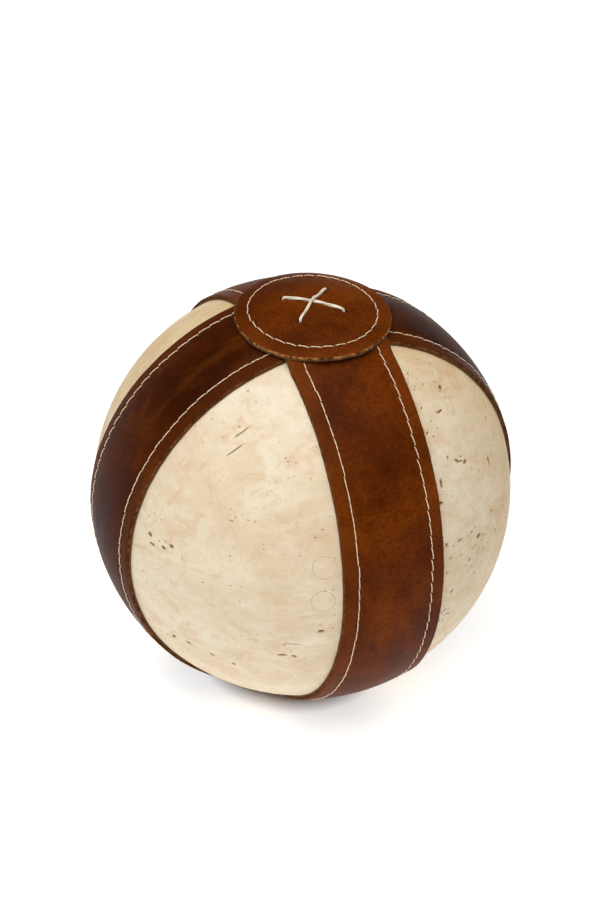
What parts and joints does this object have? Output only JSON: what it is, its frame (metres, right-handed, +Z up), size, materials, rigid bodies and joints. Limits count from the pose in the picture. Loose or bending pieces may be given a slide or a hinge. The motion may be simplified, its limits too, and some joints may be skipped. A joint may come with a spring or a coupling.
{
  "type": "medicine ball",
  "caption": "Travertine medicine ball wrapped by two crossing stitched leather straps, with a laced leather disc over the top crossing.",
  "frame": {"origin": "centre of the base disc's lower face, the flat the ball stands on", "axes": "+Z up through both strap crossings; the over strap's hoop lies in the YZ plane; the under strap runs near the X axis"},
  "size_m": [0.204, 0.204, 0.2133],
  "materials": {
    "stone": "honed travertine, open pores",
    "leather": "brown pull-up leather, raw cut edges",
    "lining": "undyed flesh side",
    "thread": "waxed cream thread",
    "lace": "twisted cream cord"
  },
  "bodies": {
    "root": {"stone_ball": "stone", "under_strap_lining": "lining", "under_strap_face": "leather", "over_strap_lining": "lining", "over_strap_face": "leather", "top_disc_lining": "lining", "top_disc_face": "leather", "base_disc_lining": "lining", "base_disc_face": "leather", "under_strap_thread_left": "thread", "under_strap_thread_right": "thread", "over_strap_thread_left": "thread", "over_strap_thread_right": "thread", "top_disc_thread": "thread", "base_disc_thread": "thread", "disc_lace": "lace"}
  },
  "joints": []
}
